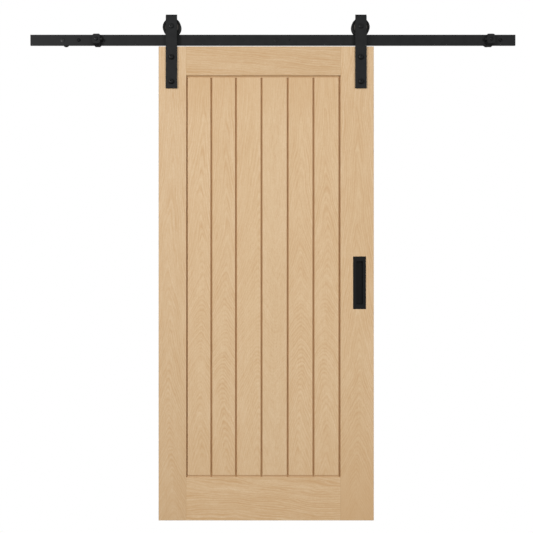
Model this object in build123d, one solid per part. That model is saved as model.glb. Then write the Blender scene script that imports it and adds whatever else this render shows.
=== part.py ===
from build123d import *
import os

# Sliding plank door hung from a flat steel wall track.
# Lengths in millimetres. While building, x runs from the middle of the leaf,
# y = 0 is the wall and -y is the room side, z runs up from the foot of the leaf.
# At the end everything is moved so that the origin is on the wall face of the middle spacer.

# ---- leaf
LEAF_W = 926.0
LEAF_H = 2040.0
LEAF_T = 40.0
LEAF_BACK = -11.0                      # gap between the back of the leaf and the wall
LEAF_FRONT = LEAF_BACK - LEAF_T
TOP_RAIL_H = 125.0
BOTTOM_RAIL_H = 187.0
BOARD_EDGES = (118.5, 227.0, 333.0, 443.0, 555.5, 666.5, 783.0)   # from the left edge of the leaf
PANEL_SINK = 2.0                       # boards lie this far behind the frame, on both faces
GROOVE_W = 9.0
GROOVE_D = 5.0
STILE_GROOVE_W = (7.0, 9.0)            # grooves beside the left and right stiles
END_GROOVE_W = 8.0                     # shallow grooves along the rails
END_GROOVE_D = 3.5
GROOVE_STOP = 9.5                      # upright grooves between boards end this far below the top rail
ARRIS = 1.2

# ---- track
RAIL_T = 6.0
RAIL_H = 46.4
RAIL_BACK = -35.0
RAIL_FRONT = RAIL_BACK - RAIL_T
RAIL_MID_Z = 2071.5
RAIL_X0 = -1019.4
RAIL_X1 = 1077.3
FIX_X = (-879.0, 44.0, 967.0)          # wall fixings
SPACER_R = 9.5
SPACER_BASE_R = (14.7, 8.5, 14.7)      # at the wall
SPACER_BASE_L = 20.0
WALL_BOLT_R = 4.0
WALL_BOLT_HOLE_R = 4.5
WALL_BOLT_HEAD_R = 10.0
WALL_BOLT_HEAD_H = 1.3
SCREW_X = (-810.0, 1012.0)             # small screws that close the spare holes of the track
SCREW_R = 3.0
SCREW_HEAD_R = 7.0
SCREW_HEAD_H = 6.0
MARK_X = 100.7                         # shallow drilled mark in the face of the track
MARK_R = 2.4
MARK_D = 3.0

# ---- stops
STOP_X = (-731.0, 967.0)
STOP_W = 34.0
STOP_Z0 = 2046.0
STOP_Z1 = 2098.0
STOP_D = 14.0                          # in front of the track
STOP_CORNER = 7.0
STOP_TAPER_D = 11.0                    # top and bottom slope toward the front over this depth
STOP_DROP = 5.8                        # by this much each
STOP_FRONT_CORNER = 5.0
STOP_CLAMP = 8.0                       # the stops also close round the back of the track
STOP_HEAD_R = 8.5
STOP_HEAD_H = 4.0
BUFFER_R = 6.5
BUFFER_L = 10.0
BUFFER_Y = -48.0

# ---- hangers and wheels
HANGER_X = (-407.0, 407.0)
STRAP_W = 48.5
STRAP_T = 6.0
STRAP_Z0 = 1859.0
STRAP_Z1 = 2175.8
STRAP_BEVEL_H = 8.0                    # bevel along the front of the top end
STRAP_BEVEL_D = 4.5
BOLT_Z = (1992.0, 1887.0)
BOLT_R = 5.0
BOLT_HOLE_R = 5.4
BOLT_HEAD_R = 12.0
BOLT_HEAD_H = 8.0
NUT_FLANGE_R = 12.0
NUT_FLANGE_H = 4.0
AXLE_Z = 2125.5
AXLE_R = 6.0
AXLE_HEAD_R = 11.5
AXLE_HEAD_H = 4.5
AXLE_NUT_Y = -25.0                     # seat of the nut behind the wheel
WHEEL_R = 39.5
WHEEL_W = 20.0
WHEEL_GAP = 0.3                        # running gap between the wheel groove and the track
WHEEL_BORE_R = 6.05
GROOVE_HALF = 3.9
WHEEL_MID_Y = (RAIL_FRONT + RAIL_BACK) / 2

# ---- flush pulls
PULL_X = 401.3
PULL_Z = 1023.0
PULL_W = 55.0
PULL_H = 226.5
PULL_PROUD = 2.5
CUP_W = 29.0
CUP_H = 186.0
CUP_DEPTH = 15.0                       # from the face of the plate to the floor
CUP_WALL = 1.5
POCKET_GAP = 0.5

ORIGIN = (FIX_X[1], 0.0, RAIL_MID_Z)

os.makedirs("parts", exist_ok=True)


def block(x0, x1, y0, y1, z0, z1):
    return Pos((x0 + x1) / 2, (y0 + y1) / 2, (z0 + z1) / 2) * Box(x1 - x0, y1 - y0, z1 - z0)


def rod(x, z, y0, y1, r):
    return Pos(x, (y0 + y1) / 2, z) * Rot(90, 0, 0) * Cylinder(r, y1 - y0)


def turned(points, x, z):
    # points are (radius, y) pairs, turned about a line along Y through (x, z)
    face = make_face(Polyline(*points, close=True))
    return Pos(x, 0, z) * revolve(face, Axis.Y, 360)


def socket(x, z, y, across, depth, toward=1):
    # six-sided key socket sunk from y along +Y
    plane = Plane((x, y, z), x_dir=(1, 0, 0), z_dir=(0, toward, 0))
    return extrude(plane * RegularPolygon(across / 2, 6, major_radius=False), depth)


def domed_head(x, z, y, r, h, key):
    # button head on the plane y, swelling toward -Y
    rim = 0.18 * h
    flat = 0.36 * r
    mid_r, mid_h = 0.80 * r, 0.66 * h
    sketch = make_face(
        [
            Line((0, y), (r, y)),
            Line((r, y), (r, y - rim)),
            ThreePointArc((r, y - rim), (mid_r, y - mid_h), (flat, y - h)),
            Line((flat, y - h), (0, y - h)),
            Line((0, y - h), (0, y)),
        ]
    )
    head = Pos(x, 0, z) * revolve(sketch, Axis.Y, 360)
    return head - socket(x, z, y - h - 1, key, 1 + 0.45 * h)


nodes = {}

# ---- track bar
bar = block(RAIL_X0, RAIL_X1, RAIL_FRONT, RAIL_BACK, RAIL_MID_Z - RAIL_H / 2, RAIL_MID_Z + RAIL_H / 2)
bar = chamfer(bar.edges(), 0.7)
for x in FIX_X:
    bar -= rod(x, RAIL_MID_Z, RAIL_FRONT - 1, RAIL_BACK + 1, WALL_BOLT_HOLE_R)
for x in SCREW_X:
    bar -= rod(x, RAIL_MID_Z, RAIL_FRONT - 1, RAIL_BACK + 1, SCREW_R + 0.4)
bar -= rod(STOP_X[0], RAIL_MID_Z, RAIL_FRONT - 1, RAIL_BACK + 1, WALL_BOLT_HOLE_R)
bar -= rod(MARK_X, RAIL_MID_Z, RAIL_FRONT - 1, RAIL_FRONT + MARK_D, MARK_R)
nodes["track_bar"] = bar

# ---- wall spacers and wall bolts
SIDES = ("left", "middle", "right")
for side, x, base_r in zip(SIDES, FIX_X, SPACER_BASE_R):
    # the right spacer ends at the back of the right stop, the others at the track
    seat = RAIL_BACK + STOP_CLAMP if side == "right" else RAIL_BACK
    step = -SPACER_BASE_L
    spacer = turned(
        [
            (WALL_BOLT_HOLE_R, seat),
            (SPACER_R - 0.8, seat),
            (SPACER_R, seat + 0.8),
            (SPACER_R, step - 2.5),
            (base_r, step),
            (base_r, -0.8),
            (base_r - 0.8, 0),
            (WALL_BOLT_HOLE_R, 0),
        ],
        x,
        RAIL_MID_Z,
    )
    nodes["wall_spacer_" + side] = spacer

STOP_FACE = RAIL_FRONT - STOP_D
for side, x in zip(SIDES, FIX_X):
    if side == "right":
        seat, r, h, key = STOP_FACE, STOP_HEAD_R, STOP_HEAD_H, 6.0
    else:
        seat, r, h, key = RAIL_FRONT, WALL_BOLT_HEAD_R, WALL_BOLT_HEAD_H, 6.0
    bolt = domed_head(x, RAIL_MID_Z, seat, r, h, key) + rod(x, RAIL_MID_Z, seat, -1.0, WALL_BOLT_R)
    nodes["wall_bolt_" + side] = bolt

# ---- small screws in the spare holes, each with a nut behind the track
for side, x in zip(("left", "right"), SCREW_X):
    screw = domed_head(x, RAIL_MID_Z, RAIL_FRONT, SCREW_HEAD_R, SCREW_HEAD_H, 5.0)
    screw += rod(x, RAIL_MID_Z, RAIL_FRONT, RAIL_BACK + 5.5, SCREW_R)
    screw += socket(x, RAIL_MID_Z, RAIL_BACK, 10.0, 5.0)
    nodes["track_screw_" + side] = screw

# ---- stops: eight-sided blocks that lip over the track and slope toward the front, with rubber buffers
STOP_MID_Z = (STOP_Z0 + STOP_Z1) / 2
stop_outline = chamfer(Rectangle(STOP_W, STOP_Z1 - STOP_Z0).vertices(), STOP_CORNER)
front_outline = chamfer(Rectangle(STOP_W, STOP_Z1 - STOP_Z0 - 2 * STOP_DROP).vertices(), STOP_FRONT_CORNER)
taper_y = STOP_FACE + STOP_TAPER_D
back = RAIL_BACK + STOP_CLAMP
for side, x, inward in (("left", STOP_X[0], 1), ("right", STOP_X[1], -1)):
    rear = Plane((x, back, STOP_MID_Z), x_dir=(1, 0, 0), z_dir=(0, -1, 0))
    middle = Plane((x, taper_y, STOP_MID_Z), x_dir=(1, 0, 0), z_dir=(0, -1, 0))
    front = Plane((x, STOP_FACE, STOP_MID_Z), x_dir=(1, 0, 0), z_dir=(0, -1, 0))
    stop = extrude(rear * stop_outline, back - taper_y)
    stop += loft([(middle * stop_outline).face(), (front * front_outline).face()], ruled=True)
    stop = chamfer(stop.faces().sort_by(Axis.Y)[0].edges(), 0.8)
    stop = chamfer(stop.faces().sort_by(Axis.Y)[-1].edges(), 0.8)

    face_x = x + inward * STOP_W / 2
    length = BUFFER_L + STOP_W / 4
    buffer = Pos(face_x + inward * (BUFFER_L - length / 2), BUFFER_Y, RAIL_MID_Z) * Rot(0, 90, 0) * Cylinder(BUFFER_R, length)
    tip = buffer.faces().filter_by(Axis.X).sort_by(Axis.X)[-1 if inward > 0 else 0]
    buffer = fillet(tip.edges(), 2.5)
    nodes["stop_buffer_" + side] = buffer - stop

    stop -= block(
        x - STOP_W, x + STOP_W, RAIL_FRONT, RAIL_BACK, RAIL_MID_Z - RAIL_H / 2, RAIL_MID_Z + RAIL_H / 2
    )
    stop -= rod(x, RAIL_MID_Z, STOP_FACE - 1, back + 1, WALL_BOLT_HOLE_R)
    nodes["stop_block_" + side] = stop

x = STOP_X[0]
nut_y = RAIL_BACK + STOP_CLAMP
bolt = domed_head(x, RAIL_MID_Z, STOP_FACE, STOP_HEAD_R, STOP_HEAD_H, 6.0)
bolt += rod(x, RAIL_MID_Z, STOP_FACE, nut_y + 7.5, WALL_BOLT_R)
bolt += socket(x, RAIL_MID_Z, nut_y, 13.0, 6.5)
nodes["stop_bolt_left"] = bolt

# ---- leaf: two stiles, two rails, six grooved boards
XL = -LEAF_W / 2
XR = LEAF_W / 2
edges_x = [XL + e for e in BOARD_EDGES]
z_low = BOTTOM_RAIL_H
z_high = LEAF_H - TOP_RAIL_H


def through_holes(x):
    cut = rod(x, BOLT_Z[0], LEAF_FRONT - 5, LEAF_BACK + 5, BOLT_HOLE_R)
    return cut + rod(x, BOLT_Z[1], LEAF_FRONT - 5, LEAF_BACK + 5, BOLT_HOLE_R)


def eased(piece, inner):
    # arris on every edge except those of the joint face at x = inner
    return chamfer([e for e in piece.edges() if abs(e.center().X - inner) > 0.1], ARRIS)


stile = eased(block(XL, edges_x[0], LEAF_FRONT, LEAF_BACK, 0, LEAF_H), edges_x[0])
nodes["left_stile"] = stile - through_holes(HANGER_X[0])

pocket_w = CUP_W + 2 * CUP_WALL + 2 * POCKET_GAP
pocket_h = CUP_H + 2 * CUP_WALL + 2 * POCKET_GAP
pocket_d = CUP_DEPTH - PULL_PROUD + CUP_WALL + POCKET_GAP
stile = eased(block(edges_x[-1], XR, LEAF_FRONT, LEAF_BACK, 0, LEAF_H), edges_x[-1])
stile -= through_holes(HANGER_X[1])
for y0, y1 in ((LEAF_FRONT - 1, LEAF_FRONT + pocket_d), (LEAF_BACK - pocket_d, LEAF_BACK + 1)):
    stile -= block(
        PULL_X - pocket_w / 2, PULL_X + pocket_w / 2, y0, y1, PULL_Z - pocket_h / 2, PULL_Z + pocket_h / 2
    )
nodes["right_stile"] = stile

for name, z0, z1 in (("top_rail", z_high, LEAF_H), ("bottom_rail", 0, z_low)):
    piece = block(edges_x[0], edges_x[-1], LEAF_FRONT, LEAF_BACK, z0, z1)
    nodes[name] = chamfer(piece.edges().filter_by(Axis.X), ARRIS)


def vee(x, y, toward, z0, z1, w):
    # V cut along Z, open on the plane y
    h = w / 2
    tri = make_face(
        Polyline(
            (x - h * 1.2, y - toward * 0.2 * GROOVE_D),
            (x + h * 1.2, y - toward * 0.2 * GROOVE_D),
            (x, y + toward * GROOVE_D),
            close=True,
        )
    )
    return Pos(0, 0, z0) * extrude(tri, z1 - z0)


def end_vee(z, y, toward, x0, x1):
    # shallow V cut along X, open on the plane y
    h = END_GROOVE_W / 2
    plane = Plane((x0, 0, 0), x_dir=(0, 1, 0), z_dir=(1, 0, 0))
    tri = make_face(
        Polyline(
            (y - toward * 0.2 * END_GROOVE_D, z - h * 1.2),
            (y - toward * 0.2 * END_GROOVE_D, z + h * 1.2),
            (y + toward * END_GROOVE_D, z),
            close=True,
        )
    )
    return extrude(plane * tri, x1 - x0)


front = LEAF_FRONT + PANEL_SINK
back = LEAF_BACK - PANEL_SINK
last = len(edges_x) - 1
for i in range(last):
    board = block(edges_x[i], edges_x[i + 1], front, back, z_low, z_high)
    for y, toward in ((front, 1), (back, -1)):
        for j in (i, i + 1):
            if j == 0:
                cut = vee(edges_x[0] + STILE_GROOVE_W[0] / 2, y, toward, z_low - 1, z_high + 1, STILE_GROOVE_W[0])
            elif j == last:
                cut = vee(edges_x[j] - STILE_GROOVE_W[1] / 2, y, toward, z_low - 1, z_high + 1, STILE_GROOVE_W[1])
            else:
                cut = vee(edges_x[j], y, toward, z_low - 1, z_high - GROOVE_STOP, GROOVE_W)
            board -= cut
        for z in (z_high - END_GROOVE_W / 2, z_low + END_GROOVE_W / 2):
            board -= end_vee(z, y, toward, edges_x[i] - 1, edges_x[i + 1] + 1)
    nodes["panel_board_%d" % (i + 1)] = board

# ---- hangers: straight flat strap with a bevelled top, the wheel behind it
yf0 = LEAF_FRONT - STRAP_T
profile = make_face(
    Polyline(
        (yf0, STRAP_Z0),
        (yf0, STRAP_Z1 - STRAP_BEVEL_H),
        (yf0 + STRAP_BEVEL_D, STRAP_Z1),
        (LEAF_FRONT, STRAP_Z1),
        (LEAF_FRONT, STRAP_Z0),
        close=True,
    )
)
for side, x in zip(("left", "right"), HANGER_X):
    plane = Plane((x - STRAP_W / 2, 0, 0), x_dir=(0, 1, 0), z_dir=(1, 0, 0))
    strap = extrude(plane * profile, STRAP_W)
    sides = strap.faces().filter_by(Axis.X)
    strap = chamfer(sides.edges(), 0.6)
    strap -= rod(x, AXLE_Z, yf0 - 1, LEAF_FRONT + 1, AXLE_R + 0.2)
    for z in BOLT_Z:
        strap -= rod(x, z, yf0 - 1, LEAF_FRONT + 1, BOLT_HOLE_R)
    nodes["hanger_strap_" + side] = strap

    for place, z in zip(("upper", "lower"), BOLT_Z):
        bolt = domed_head(x, z, yf0, BOLT_HEAD_R, BOLT_HEAD_H, 7.0)
        bolt += rod(x, z, yf0, LEAF_BACK, BOLT_R)
        nut = rod(x, z, LEAF_BACK, LEAF_BACK + NUT_FLANGE_H, NUT_FLANGE_R)
        nut = chamfer(nut.faces().sort_by(Axis.Y)[-1].edges(), 1.2)
        nut -= socket(x, z, LEAF_BACK + NUT_FLANGE_H - 2.5, 8.0, 3.5)
        nodes["hanger_bolt_%s_%s" % (side, place)] = bolt + nut

    w0 = WHEEL_MID_Y - WHEEL_W / 2
    w1 = WHEEL_MID_Y + WHEEL_W / 2
    axle = domed_head(x, AXLE_Z, yf0, AXLE_HEAD_R, AXLE_HEAD_H, 7.0)
    axle += rod(x, AXLE_Z, yf0, AXLE_NUT_Y + 9.5, AXLE_R)
    axle += rod(x, AXLE_Z, LEAF_FRONT, w0 - 0.2, 9.0)
    axle += rod(x, AXLE_Z, w1 + 0.2, AXLE_NUT_Y, 9.0)
    axle += socket(x, AXLE_Z, AXLE_NUT_Y, 18.0, 8.0)
    nodes["axle_bolt_" + side] = axle

    root = AXLE_Z - (RAIL_MID_Z + RAIL_H / 2) - WHEEL_GAP
    half = [
        (WHEEL_BORE_R, 0.0),
        (WHEEL_BORE_R, WHEEL_W / 2),
        (15.0, WHEEL_W / 2),
        (16.0, WHEEL_W / 2 - 0.6),
        (17.5, WHEEL_W / 2 - 3.0),
        (28.4, WHEEL_W / 2 - 3.0),
        (30.2, WHEEL_W / 2 - 0.5),
        (31.0, WHEEL_W / 2),
        (37.7, WHEEL_W / 2),
        (39.0, WHEEL_W / 2 - 0.6),
        (WHEEL_R, WHEEL_W / 2 - 1.8),
        (WHEEL_R, GROOVE_HALF + 1.4),
        (WHEEL_R - 1.0, GROOVE_HALF + 0.5),
        (root + 0.6, GROOVE_HALF),
        (root, GROOVE_HALF - 0.6),
    ]
    ring = [(r, WHEEL_MID_Y - t) for r, t in half[1:]] + [(r, WHEEL_MID_Y + t) for r, t in reversed(half[1:])]
    nodes["wheel_" + side] = turned(ring, x, AXLE_Z)


# ---- flush pulls, one on each face of the right stile
def pull(face, out):
    # face is the plane of the stile, out is -1 on the room side and +1 on the wall side
    plane = Plane((PULL_X, face, PULL_Z), x_dir=(1, 0, 0), z_dir=(0, out, 0))
    plate = extrude(plane * RectangleRounded(PULL_W, PULL_H, 2.0), PULL_PROUD)
    outer = plate.faces().sort_by(Axis.Y)[0 if out < 0 else -1]
    plate = chamfer(outer.edges(), 1.2)
    deep = CUP_DEPTH - PULL_PROUD + CUP_WALL
    plane_in = Plane((PULL_X, face, PULL_Z), x_dir=(1, 0, 0), z_dir=(0, -out, 0))
    cup = extrude(plane_in * RectangleRounded(CUP_W + 2 * CUP_WALL, CUP_H + 2 * CUP_WALL, 3.5), deep)
    top = Plane((PULL_X, face + out * PULL_PROUD, PULL_Z), x_dir=(1, 0, 0), z_dir=(0, -out, 0))
    hollow = extrude(top * RectangleRounded(CUP_W, CUP_H, 2.0), CUP_DEPTH)
    return plate + cup - hollow


nodes["flush_pull_front"] = pull(LEAF_FRONT, -1)
nodes["flush_pull_back"] = pull(LEAF_BACK, 1)

for name, shape in nodes.items():
    placed = Pos(-ORIGIN[0], -ORIGIN[1], -ORIGIN[2]) * shape
    placed.label = name
    export_step(placed, "parts/%s.step" % name)
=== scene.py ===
import math
import bpy
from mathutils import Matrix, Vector

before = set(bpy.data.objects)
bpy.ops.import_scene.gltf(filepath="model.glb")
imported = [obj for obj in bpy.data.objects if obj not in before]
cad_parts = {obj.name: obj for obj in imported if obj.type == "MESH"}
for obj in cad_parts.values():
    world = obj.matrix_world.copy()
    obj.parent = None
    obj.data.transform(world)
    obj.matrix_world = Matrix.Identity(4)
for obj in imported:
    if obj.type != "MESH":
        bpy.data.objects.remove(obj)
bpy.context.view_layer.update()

# ---------------------------------------------------------------- layout, in metres in the row frame
OX, OZ = -0.044, -2.0715                 # middle and foot of the leaf
LEAF_FRONT = -0.051
LEAF_LEFT = OX - 0.463
BOARD_EDGES = [LEAF_LEFT + e / 1000 for e in (118.5, 227.0, 333.0, 443.0, 555.5, 666.5, 783.0)]
LEAF_TOP = OZ + 2.040
AXLES = {"wheel_left": -0.451, "wheel_right": 0.363}
AXLE_Z = 0.054


def node(name):
    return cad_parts[name]


# ---------------------------------------------------------------- node helpers
class Tree:
    def __init__(self, name):
        self.mat = bpy.data.materials.new(name)
        self.mat.use_nodes = True
        self.nt = self.mat.node_tree
        self.nt.nodes.clear()
        self.out = self.nt.nodes.new("ShaderNodeOutputMaterial")
        self.bsdf = self.nt.nodes.new("ShaderNodeBsdfPrincipled")
        self.nt.links.new(self.bsdf.outputs[0], self.out.inputs[0])

    def put(self, socket, value):
        if isinstance(value, bpy.types.NodeSocket):
            self.nt.links.new(value, socket)
        else:
            socket.default_value = value

    def math(self, op, a, b=0.0, c=None, clamp=False):
        n = self.nt.nodes.new("ShaderNodeMath")
        n.operation = op
        n.use_clamp = clamp
        self.put(n.inputs[0], a)
        self.put(n.inputs[1], b)
        if c is not None:
            self.put(n.inputs[2], c)
        return n.outputs[0]

    def coords(self):
        n = self.nt.nodes.new("ShaderNodeTexCoord")
        s = self.nt.nodes.new("ShaderNodeSeparateXYZ")
        self.nt.links.new(n.outputs["Object"], s.inputs[0])
        return s.outputs[0], s.outputs[1], s.outputs[2]

    def join(self, x, y, z):
        n = self.nt.nodes.new("ShaderNodeCombineXYZ")
        for s, v in zip(n.inputs, (x, y, z)):
            self.put(s, v)
        return n.outputs[0]

    def noise(self, vector, scale=1.0, detail=2.0, rough=0.5, lac=2.0, dist=0.0):
        n = self.nt.nodes.new("ShaderNodeTexNoise")
        self.put(n.inputs["Vector"], vector)
        n.inputs["Scale"].default_value = scale
        n.inputs["Detail"].default_value = detail
        n.inputs["Roughness"].default_value = rough
        n.inputs["Lacunarity"].default_value = lac
        n.inputs["Distortion"].default_value = dist
        return n.outputs[0]

    def ramp(self, value, stops, smooth="LINEAR"):
        n = self.nt.nodes.new("ShaderNodeValToRGB")
        n.color_ramp.interpolation = smooth
        els = n.color_ramp.elements
        while len(els) < len(stops):
            els.new(0.5)
        for e, (p, c) in zip(els, stops):
            e.position = p
            e.color = (c, c, c, 1) if isinstance(c, (int, float)) else (*c, 1)
        self.put(n.inputs[0], value)
        return n.outputs[0]

    def span(self, value, a, b, c, d, kind="LINEAR"):
        n = self.nt.nodes.new("ShaderNodeMapRange")
        n.interpolation_type = kind
        n.clamp = True
        self.put(n.inputs[0], value)
        for i, v in zip((1, 2, 3, 4), (a, b, c, d)):
            n.inputs[i].default_value = v
        return n.outputs[0]

    def mix(self, fac, a, b, blend="MIX"):
        n = self.nt.nodes.new("ShaderNodeMix")
        n.data_type = "RGBA"
        n.blend_type = blend
        self.put(n.inputs[0], fac)
        self.put(n.inputs[6], a if isinstance(a, bpy.types.NodeSocket) else (*a, 1))
        self.put(n.inputs[7], b if isinstance(b, bpy.types.NodeSocket) else (*b, 1))
        return n.outputs[2]

    def bump(self, height, strength, distance):
        n = self.nt.nodes.new("ShaderNodeBump")
        n.inputs["Strength"].default_value = strength
        n.inputs["Distance"].default_value = distance
        self.put(n.inputs["Height"], height)
        return n.outputs[0]

    def normal(self):
        g = self.nt.nodes.new("ShaderNodeNewGeometry")
        s = self.nt.nodes.new("ShaderNodeSeparateXYZ")
        self.nt.links.new(g.outputs["True Normal"], s.inputs[0])
        return self.math("ABSOLUTE", s.outputs[1]), self.math("ABSOLUTE", s.outputs[2])


# ---------------------------------------------------------------- materials
# how the arches of the growth lines open along the grain: height above the foot of the leaf,
# fall of the arches beside the crown, roundness of the crown
BOARD_FALL = (
    (0.19, 4.6, 0.010), (0.35, 3.8, 0.012), (0.52, 2.8, 0.016), (0.65, 1.9, 0.020), (0.76, 1.6, 0.020), (0.91, 1.9, 0.016),
    (1.04, 2.7, 0.010), (1.21, 3.8, 0.008), (1.42, 6.0, 0.006), (1.64, 10.0, 0.006), (1.92, 16.0, 0.006),
)
STILE_FALL = (
    (0.0, 2.4, 0.010), (0.30, 2.3, 0.012), (0.50, 2.9, 0.012), (0.70, 4.0, 0.010), (1.0, 6.0, 0.008), (1.4, 10.0, 0.006),
    (2.04, 16.0, 0.006),
)
RAIL_FALL = ((-0.5, 15.0, 0.007), (0.5, 15.0, 0.007))


def oak(name, along, centre, fall, seed, tone=1.0, lean=0.0, sway=1.0, line=1.0, grit=1.0, space=0.012, rise=1.0, lift=0.0,
        foot=0.0, head=0.0, grooved=False, ends=None):
    """Crown-cut oak. The growth lines are arches along the grain.
    along 'z' or 'x' is the grain, centre the crown's place across it, fall the way the arches open,
    lean a steady slant, sway the amount of waviness, line the strength of the lines, grit that of
    the flecks, space the distance of the lines across the grain, rise the way the arches point,
    lift a shift of the arches along the grain, foot the strength of a painted shade towards the foot,
    head a deeper colour towards the head."""
    t = Tree(name)
    x, y, z = t.coords()
    g, c = (z, x) if along == "z" else (x, z)
    start = OZ if along == "z" else OX

    def field(kc, ky, kg, shift, detail=2.0, rough=0.5):
        v = t.join(t.math("MULTIPLY", c, kc), t.math("MULTIPLY_ADD", y, ky, seed + shift), t.math("MULTIPLY", g, kg))
        return t.noise(v, 1.0, detail, rough)

    def swing(kc, ky, kg, shift, detail=2.0, rough=0.5):
        return t.math("SUBTRACT", field(kc, ky, kg, shift, detail, rough), 0.5)

    # climb is the depth of the growth lines along the crown: it grows slowly where the arches are steep
    fine = []
    for (h0, s0, r0), (h1, s1, r1) in zip(fall, fall[1:]):
        fine += [(h0 + (h1 - h0) * f, s0 + (s1 - s0) * f, r0 + (r1 - r0) * f) for f in (0.0, 0.5)]
    fine.append(fall[-1])
    climb = [0.0]
    for (h0, s0, r0), (h1, s1, r1) in zip(fine, fine[1:]):
        climb.append(climb[-1] + (h1 - h0) * 2.0 / (s0 + s1))
    span_h = fine[-1][0] - fine[0][0]
    place = t.span(g, start + lift + fine[0][0], start + lift + fine[-1][0], 0.0, 1.0)
    spots = [(h - fine[0][0]) / span_h for h, _, _ in fine]
    depth = t.math("MULTIPLY", t.ramp(place, [(q, v / climb[-1]) for q, v in zip(spots, climb)]), climb[-1] * rise)
    # beyond the listed heights the lines keep on climbing
    below = t.math("MINIMUM", t.math("SUBTRACT", g, start + lift + fine[0][0]), 0.0)
    above = t.math("MAXIMUM", t.math("SUBTRACT", g, start + lift + fine[-1][0]), 0.0)
    depth = t.math("MULTIPLY_ADD", below, rise / fine[0][1], depth)
    depth = t.math("MULTIPLY_ADD", above, rise / fine[-1][1], depth)
    crown = t.ramp(place, [(q, r) for q, (_, _, r) in zip(spots, fine)])
    # the crown wanders along the grain and the arches shift up and down
    u = t.math("MULTIPLY_ADD", swing(5.0, 5.0, 2.2, 5.0), 0.060 * sway, t.math("SUBTRACT", c, centre))
    u = t.math("MULTIPLY_ADD", swing(26.0, 26.0, 9.0, 17.0, 3.0, 0.55), 0.012 * sway, u)
    depth = t.math("ADD", depth, t.math("SQRT", t.math("MULTIPLY_ADD", u, u, t.math("MULTIPLY", crown, crown))))
    depth = t.math("MULTIPLY_ADD", u, lean, depth)
    depth = t.math("MULTIPLY_ADD", y, 1.4, depth)
    depth = t.math("MULTIPLY_ADD", swing(8.0, 8.0, 1.7, 1.0), 0.030, depth)
    depth = t.math("MULTIPLY_ADD", swing(75.0, 75.0, 13.0, 9.0, 3.0, 0.6), 0.0080 * sway, depth)
    depth = t.math("MULTIPLY_ADD", swing(30.0, 30.0, 6.0, 71.0), 0.010 * sway, depth)
    # growth lines of uneven width and spacing that come and go
    k = 1.0 / space
    grow = t.noise(t.join(t.math("MULTIPLY", depth, k), seed, t.math("MULTIPLY", g, 3.2)), 1.0, 3.0, 0.72)
    broad = t.span(grow, 0.36, 0.66, 0.0, 1.0, "SMOOTHSTEP")
    years = t.noise(t.join(t.math("MULTIPLY", depth, 0.6 * k), seed + 40.0, 0.0), 1.0, 2.0, 0.6)
    phase = t.math("MULTIPLY_ADD", years, 1.6, t.math("MULTIPLY", depth, 1.15 * k))
    ring = t.ramp(t.math("FRACT", phase), [(0.0, 0.45), (0.14, 1.0), (0.36, 0.45), (0.70, 0.05), (1.0, 0.45)], "EASE")
    fade = t.span(field(24.0, 24.0, 6.0, 23.0, 3.0, 0.6), 0.34, 0.60, 0.25, 1.0)
    ring = t.math("MULTIPLY", ring, fade)
    lines = t.math("MULTIPLY_ADD", ring, 0.95, t.math("MULTIPLY", broad, 0.40))
    # flecks, fibres and pores run with the grain
    fleck = t.span(field(250.0, 250.0, 30.0, 31.0, 3.0, 0.66), 0.42, 0.62, 0.0, 1.0)
    speck = t.span(field(330.0, 330.0, 130.0, 57.0, 2.0, 0.6), 0.44, 0.62, 0.0, 1.0)
    fibre = field(560.0, 560.0, 8.0, 3.1, 4.0, 0.62)
    pore = t.span(field(1500.0, 1500.0, 44.0, 0.0, 2.0, 0.6), 0.54, 0.72, 0.0, 1.0)
    pore = t.math("MULTIPLY", pore, t.math("MULTIPLY_ADD", lines, 0.8, 0.25))
    band = field(15.0, 9.0, 1.5, 11.0, 3.0, 0.55)

    mean = tuple(k * tone for k in (0.509, 0.364, 0.2180))
    pale = tuple(k * f for k, f in zip(mean, (1.120, 1.175, 1.255)))
    dark = tuple(k * f for k, f in zip(mean, (0.880, 0.775, 0.645)))
    warm = tuple(k * f for k, f in zip(mean, (1.060, 1.085, 1.110)))
    pore_c = tuple(k * f for k, f in zip(mean, (0.720, 0.620, 0.490)))
    col = t.mix(t.span(band, 0.34, 0.68, 0.0, 0.9), pale, warm)
    col = t.mix(t.math("MULTIPLY", lines, 0.58 * line, clamp=True), col, dark)
    col = t.mix(t.math("MULTIPLY", fleck, t.math("MULTIPLY_ADD", lines, 0.40 * grit, 0.22 * grit)), col, dark)
    col = t.mix(t.math("MULTIPLY", speck, 0.40 * grit), col, dark)
    col = t.mix(t.span(fibre, 0.40, 0.72, 0.0, 0.34 * grit), col, dark)
    col = t.mix(t.math("MULTIPLY", pore, 0.30), col, pore_c)
    # painted shade: darker towards the foot of the leaf, in place of the light falling off there
    if foot:
        col = t.mix(t.span(g, OZ, OZ + 0.45, foot, 0.0), col, dark)
    if head:
        col = t.mix(t.span(g, LEAF_TOP - 0.32, LEAF_TOP - 0.13, 0.0, head), col, dark)
    # painted shade on cut faces, in place of the shade that falls there: upright groove sides darkest, eased edges and
    # ends a little
    ny, nz = t.normal()
    painted_edge_shade = t.span(ny, 0.80, 0.95, 1.0, 0.0)
    if grooved:
        painted_edge_shade = t.math("MULTIPLY", painted_edge_shade, t.span(nz, 0.10, 0.60, 0.72, 0.38))
        # painted shade colour for the groove sides
        col = t.mix(painted_edge_shade, col, (0.280, 0.133, 0.048))
    else:
        col = t.mix(t.math("MULTIPLY", painted_edge_shade, 0.45), col, dark)
    if ends:
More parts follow.
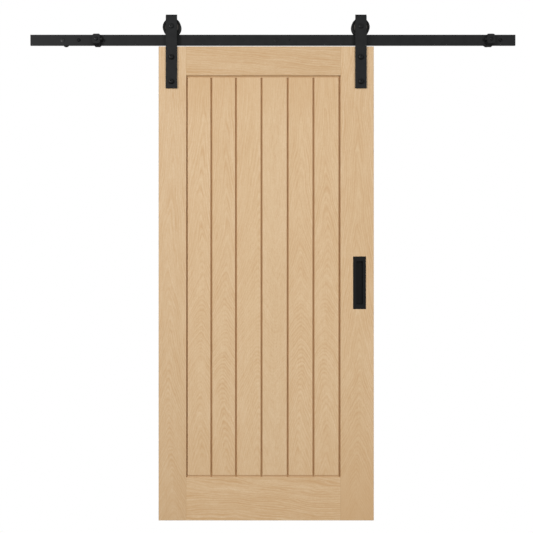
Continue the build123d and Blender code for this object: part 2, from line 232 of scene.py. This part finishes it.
        # glue line where a rail meets the stiles
        reach = t.math("ABSOLUTE", t.math("SUBTRACT", g, (ends[0] + ends[1]) / 2))
        half = (ends[1] - ends[0]) / 2
        col = t.mix(t.span(reach, half - 0.0022, half - 0.0006, 0.0, 0.55), col, pore_c)
    height = t.math("MULTIPLY_ADD", pore, -0.9, t.math("MULTIPLY", lines, -0.2))
    t.put(t.bsdf.inputs["Base Color"], col)
    t.put(t.bsdf.inputs["Roughness"], t.math("MULTIPLY_ADD", pore, 0.14, t.span(fibre, 0.3, 0.7, 0.46, 0.54)))
    t.bsdf.inputs["Specular IOR Level"].default_value = 0.30
    t.put(t.bsdf.inputs["Normal"], t.bump(height, 0.20, 0.0006))
    return t.mat


def coated(name, colour, rough=0.46, grain=1500.0, lift=0.06, spec=0.4, bevel_shade=None):
    """Powder-coated steel: fine orange-peel and slight changes of sheen. A bevel facing upwards may get painted shade,
    a darker colour.
    """
    t = Tree(name)
    n = t.nt.nodes.new("ShaderNodeTexCoord")
    v = n.outputs["Object"]
    peel = t.noise(v, grain, 2.0, 0.55)
    cloud = t.noise(v, 38.0, 3.0, 0.55)
    col = t.mix(t.span(cloud, 0.35, 0.70, 0.0, 1.0), tuple(k * 0.92 for k in colour), tuple(k * 1.10 for k in colour))
    if bevel_shade:
        # painted shade: faces tilted upwards, such as the strap's top bevel, are made darker
        ny, nz = t.normal()
        col = t.mix(t.span(nz, 0.25, 0.42, 0.0, 1.0), col, tuple(k * bevel_shade for k in colour))
    t.put(t.bsdf.inputs["Base Color"], col)
    t.put(t.bsdf.inputs["Roughness"], t.math("ADD", t.span(cloud, 0.3, 0.7, rough - 0.04, rough + 0.04), t.math("MULTIPLY", peel, 0.06)))
    t.bsdf.inputs["Specular IOR Level"].default_value = spec
    t.put(t.bsdf.inputs["Normal"], t.bump(peel, lift, 0.0003))
    return t.mat


def wheel(name, cx):
    """Black wheel: glossy dark tread ring, and a web in a paler, slightly warm grey."""
    t = Tree(name)
    x, y, z = t.coords()
    dx = t.math("SUBTRACT", x, cx)
    dz = t.math("SUBTRACT", z, AXLE_Z)
    r = t.math("SQRT", t.math("ADD", t.math("MULTIPLY", dx, dx), t.math("MULTIPLY", dz, dz)))
    n = t.nt.nodes.new("ShaderNodeTexCoord")
    v = n.outputs["Object"]
    peel = t.noise(v, 1500.0, 2.0, 0.55)
    # faint turning marks round the axle
    turn = t.noise(t.join(t.math("MULTIPLY", r, 1900.0), 0.0, 0.0), 1.0, 2.0, 0.6)
    web = t.span(r, 0.0286, 0.0302, 1.0, 0.0)
    webcol = t.mix(t.span(turn, 0.3, 0.7, 0.0, 1.0), (0.078, 0.071, 0.064), (0.100, 0.091, 0.082))
    col = t.mix(web, (0.0060, 0.0061, 0.0063), webcol)
    t.put(t.bsdf.inputs["Base Color"], col)
    t.put(t.bsdf.inputs["Roughness"], t.math("MULTIPLY_ADD", turn, 0.10, t.span(r, 0.0286, 0.0302, 0.46, 0.38)))
    t.bsdf.inputs["Specular IOR Level"].default_value = 0.14
    t.put(t.bsdf.inputs["Normal"], t.bump(t.math("ADD", peel, turn), 0.05, 0.0003))
    return t.mat


def rubber(name):
    t = Tree(name)
    n = t.nt.nodes.new("ShaderNodeTexCoord")
    peel = t.noise(n.outputs["Object"], 900.0, 3.0, 0.6)
    t.put(t.bsdf.inputs["Base Color"], t.mix(t.span(peel, 0.3, 0.7, 0.0, 1.0), (0.005, 0.005, 0.005), (0.008, 0.008, 0.008)))
    t.put(t.bsdf.inputs["Roughness"], t.span(peel, 0.3, 0.7, 0.72, 0.84))
    t.bsdf.inputs["Specular IOR Level"].default_value = 0.3
    t.put(t.bsdf.inputs["Normal"], t.bump(peel, 0.12, 0.0003))
    return t.mat


def dress(obj, mat):
    if not obj.material_slots:
        obj.data.materials.append(mat)
    for s in obj.material_slots:
        s.material = mat


mids = [(a + b) / 2 for a, b in zip(BOARD_EDGES, BOARD_EDGES[1:])]
RAIL_ENDS = (BOARD_EDGES[0], BOARD_EDGES[-1])
WOOD = {
    "left_stile": oak("oak_left_stile", "z", LEAF_LEFT + 0.050, STILE_FALL, 3.0, 0.960, 0.0, 1.1, 1.10, 0.75, 0.0105, foot=0.32),
    "right_stile": oak("oak_right_stile", "z", OX + 0.463 - 0.070, STILE_FALL, 14.0, 0.990, 0.0, 1.1, 1.20, 0.75, 0.0105, foot=0.62),
    "top_rail": oak("oak_top_rail", "x", LEAF_TOP - 0.200, RAIL_FALL, 25.0, 0.945, 0.0, 1.2, 1.5, 1.0, 0.011, ends=RAIL_ENDS),
    "bottom_rail": oak("oak_bottom_rail", "x", OZ - 0.080, RAIL_FALL, 36.0, 1.000, 0.0, 1.3, 1.6, 1.0, ends=RAIL_ENDS),
}
# crown offset, seed, tone, lean, waviness, line strength, direction, shift, deeper colour at the head
BOARD_LOOK = (
    (0.012, 47.0, 0.990, 0.0, 1.0, 0.98, 1.0, 0.0, 0.35),
    (0.006, 58.0, 0.990, 0.0, 1.1, 1.12, 1.0, -0.05, 0.35),
    (0.045, 69.0, 1.000, 0.0, 1.0, 0.82, 1.0, 0.02, 0.25),
    (0.000, 80.0, 0.985, 0.0, 1.2, 0.36, -1.0, -0.04, 0.30),
    (0.002, 91.0, 1.000, 0.0, 1.1, 1.00, 1.0, 0.03, 0.40),
    (-0.002, 102.0, 0.998, 0.0, 1.1, 1.06, 1.0, 0.06, 0.25),
)
for i, (off, seed, tone, lean, sway, line, rise, lift, head) in enumerate(BOARD_LOOK):
    WOOD["panel_board_%d" % (i + 1)] = oak(
        "oak_board_%d" % (i + 1), "z", mids[i] + off, BOARD_FALL, seed, tone, lean, sway, line, 0.75, 0.0110,
        rise=rise, lift=lift, foot=0.30, head=head, grooved=True,
    )
for name, mat in WOOD.items():
    dress(node(name), mat)

STEEL = coated("black_powder_coat", (0.0146, 0.0149, 0.0153), 0.50, spec=0.07)
# the strap's top bevel gets painted shade
STRAP = coated("black_strap_coat", (0.0146, 0.0149, 0.0153), 0.50, spec=0.07, bevel_shade=0.66)
BOLT = coated("black_bolt_coat", (0.0085, 0.0087, 0.0090), 0.40, 1900.0, 0.10, spec=0.18)
PULL = coated("black_pull_coat", (0.0042, 0.0044, 0.0046), 0.48, 1700.0, 0.12, spec=0.19)
RUBBER = rubber("buffer_rubber_black")
for name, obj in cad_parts.items():
    if name in WOOD:
        continue
    if "buffer" in name:
        dress(obj, RUBBER)
    elif name in AXLES:
        dress(obj, wheel("black_" + name, AXLES[name]))
    elif "bolt" in name or "screw" in name:
        dress(obj, BOLT)
    elif "pull" in name:
        dress(obj, PULL)
    elif "strap" in name:
        dress(obj, STRAP)
    else:
        dress(obj, STEEL)

# ---------------------------------------------------------------- floor, light and camera
# white floor, seen by the camera only, so that it neither greys near the door nor lights it from below
bpy.ops.mesh.primitive_plane_add(size=30.0, location=(0, 0, OZ - 0.012))
floor = bpy.context.object
floor.name = "floor"
fm = bpy.data.materials.new("white_floor")
fm.use_nodes = True
fb = fm.node_tree.nodes["Principled BSDF"]
fb.inputs["Base Color"].default_value = (0, 0, 0, 1)
fb.inputs["Roughness"].default_value = 0.9
fb.inputs["Specular IOR Level"].default_value = 0.0
fb.inputs["Emission Color"].default_value = (1, 1, 1, 1)
fb.inputs["Emission Strength"].default_value = 1.0
floor.data.materials.append(fm)
floor.visible_diffuse = False
floor.visible_glossy = False
floor.visible_transmission = False
floor.visible_shadow = False

# white backdrop for the camera; the door itself is lit by a dimmer room: pale in front and
# behind, dark above and at the sides, and dimmer below
world = bpy.data.worlds.new("studio")
bpy.context.scene.world = world
world.use_nodes = True
wt = world.node_tree
wt.nodes.clear()
wo = wt.nodes.new("ShaderNodeOutputWorld")
seen = wt.nodes.new("ShaderNodeBackground")
room = wt.nodes.new("ShaderNodeBackground")
pick = wt.nodes.new("ShaderNodeMixShader")
path = wt.nodes.new("ShaderNodeLightPath")
wc = wt.nodes.new("ShaderNodeTexCoord")
ws = wt.nodes.new("ShaderNodeSeparateXYZ")
low = wt.nodes.new("ShaderNodeMapRange")
for i, v in zip((1, 2, 3, 4), (-0.6, 0.1, 0.5, 1.0)):
    low.inputs[i].default_value = v
wall = wt.nodes.new("ShaderNodeMath")
wall.operation = "MULTIPLY"
wr = wt.nodes.new("ShaderNodeMath")
wr.operation = "MULTIPLY_ADD"
wr.inputs[1].default_value = 0.95
wr.inputs[2].default_value = 0.10
dim = wt.nodes.new("ShaderNodeMath")
dim.operation = "MULTIPLY"
wt.links.new(wc.outputs["Generated"], ws.inputs[0])
wt.links.new(ws.outputs[1], wall.inputs[0])
wt.links.new(ws.outputs[1], wall.inputs[1])
wt.links.new(wall.outputs[0], wr.inputs[0])
wt.links.new(ws.outputs[2], low.inputs[0])
wt.links.new(wr.outputs[0], dim.inputs[0])
wt.links.new(low.outputs[0], dim.inputs[1])
wt.links.new(dim.outputs[0], room.inputs[1])
seen.inputs[0].default_value = (1, 1, 1, 1)
seen.inputs[1].default_value = 1.0
room.inputs[0].default_value = (1, 1, 1, 1)
wt.links.new(path.outputs["Is Camera Ray"], pick.inputs[0])
wt.links.new(room.outputs[0], pick.inputs[1])
wt.links.new(seen.outputs[0], pick.inputs[2])
wt.links.new(pick.outputs[0], wo.inputs[0])


def area(name, loc, target, size, power, colour=(1, 1, 1)):
    d = bpy.data.lights.new(name, "AREA")
    d.shape = "RECTANGLE"
    d.size, d.size_y = size
    d.energy = power
    d.color = colour
    o = bpy.data.objects.new(name, d)
    bpy.context.scene.collection.objects.link(o)
    o.location = loc
    o.rotation_euler = (Vector(target) - Vector(loc)).to_track_quat("-Z", "Y").to_euler()
    o.visible_camera = False
    return o


area("key_left", (-4.0, -3.6, 0.70), (OX, -0.05, -0.95), (1.6, 1.8), 226)
fill = area("fill_right", (3.8, -4.5, -0.40), (OX, -0.05, -0.95), (2.6, 3.4), 200)
fill.visible_glossy = False
for name, x in (("back_left", -2.0), ("back_right", 1.9)):
    lamp = area(name, (x, 2.6, -0.1), (OX, 0.0, -1.0), (1.8, 2.2), 55)
    lamp.visible_glossy = False

cam_data = bpy.data.cameras.new("camera")
cam_data.sensor_width = 36.0
cam_data.lens = 35.0
cam_data.dof.use_dof = False
cam = bpy.data.objects.new("camera", cam_data)
bpy.context.scene.collection.objects.link(cam)
cam.location = (OX + 0.0013, LEAF_FRONT - 2.229, OZ + 1.0929)
cam.rotation_euler = (math.radians(90), 0, 0)
bpy.context.scene.camera = cam

view = bpy.context.scene.view_settings
view.view_transform = "Standard"
view.look = "None"
view.exposure = 0.0
view.gamma = 1.0
